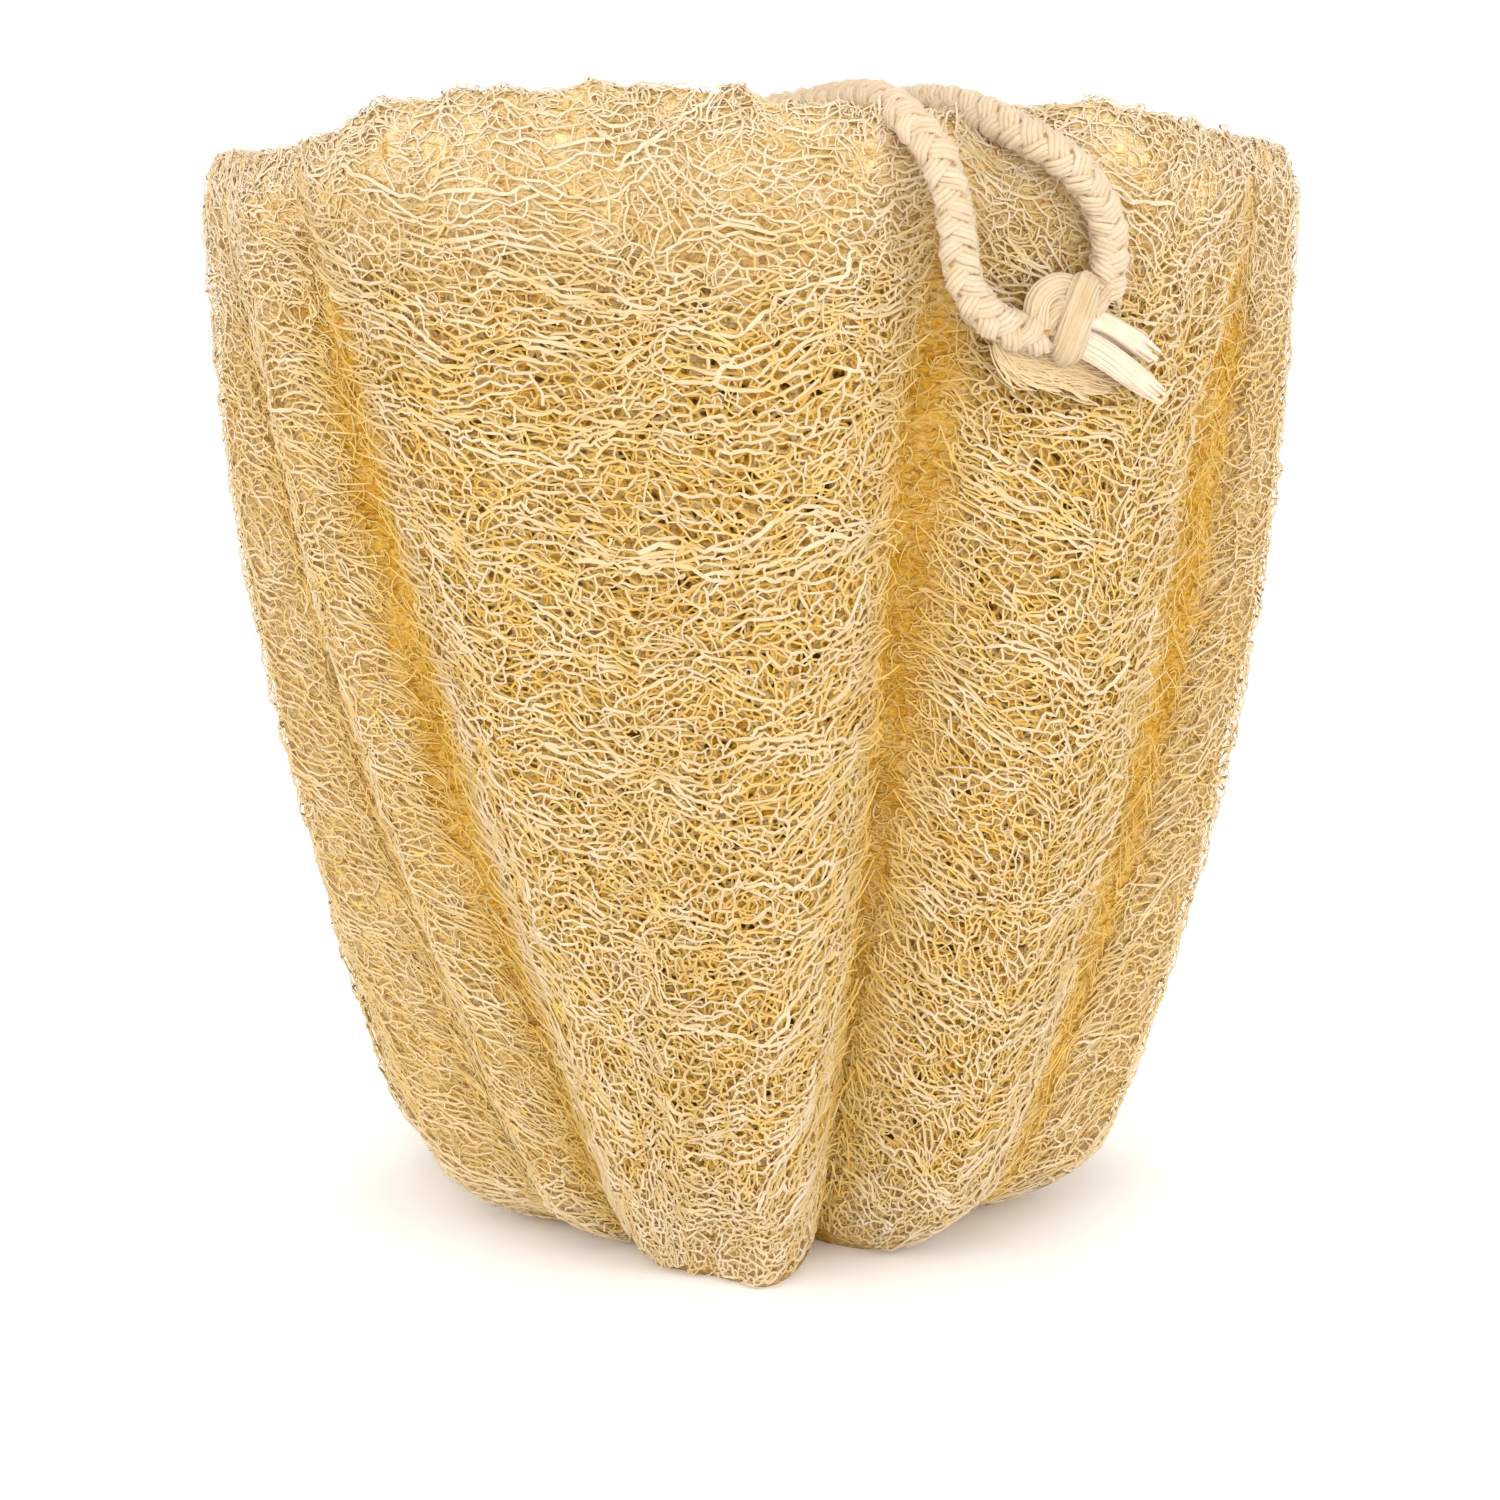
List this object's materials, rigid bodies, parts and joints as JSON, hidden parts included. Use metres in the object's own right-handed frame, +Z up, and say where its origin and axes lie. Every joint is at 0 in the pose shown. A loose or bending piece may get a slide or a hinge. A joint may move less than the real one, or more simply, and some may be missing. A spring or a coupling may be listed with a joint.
{
  "type": "natural loofah sponge",
  "caption": "Dried loofah gourd skeleton, ribbed and netted, cut flat at both ends with seed channels running through, for scrubbing, with a knotted cotton hanging cord.",
  "frame": {"origin": "middle of the narrow cut end, on the surface that the sponge stands on", "axes": "+Z up along the gourd's length towards the wide end, -Y the front where the cord hangs, +X to the right seen from the front"},
  "size_m": [0.1707, 0.1755, 0.1742],
  "materials": {
    "loofah_fibre": "dry, matt plant fibre, pale straw on the ribs and warmer in the furrows",
    "cotton": "matt braided cotton, undyed"
  },
  "bodies": {
    "root": {"loofah": "loofah_fibre", "cord": "cotton", "cord_knot": "cotton"}
  },
  "joints": []
}
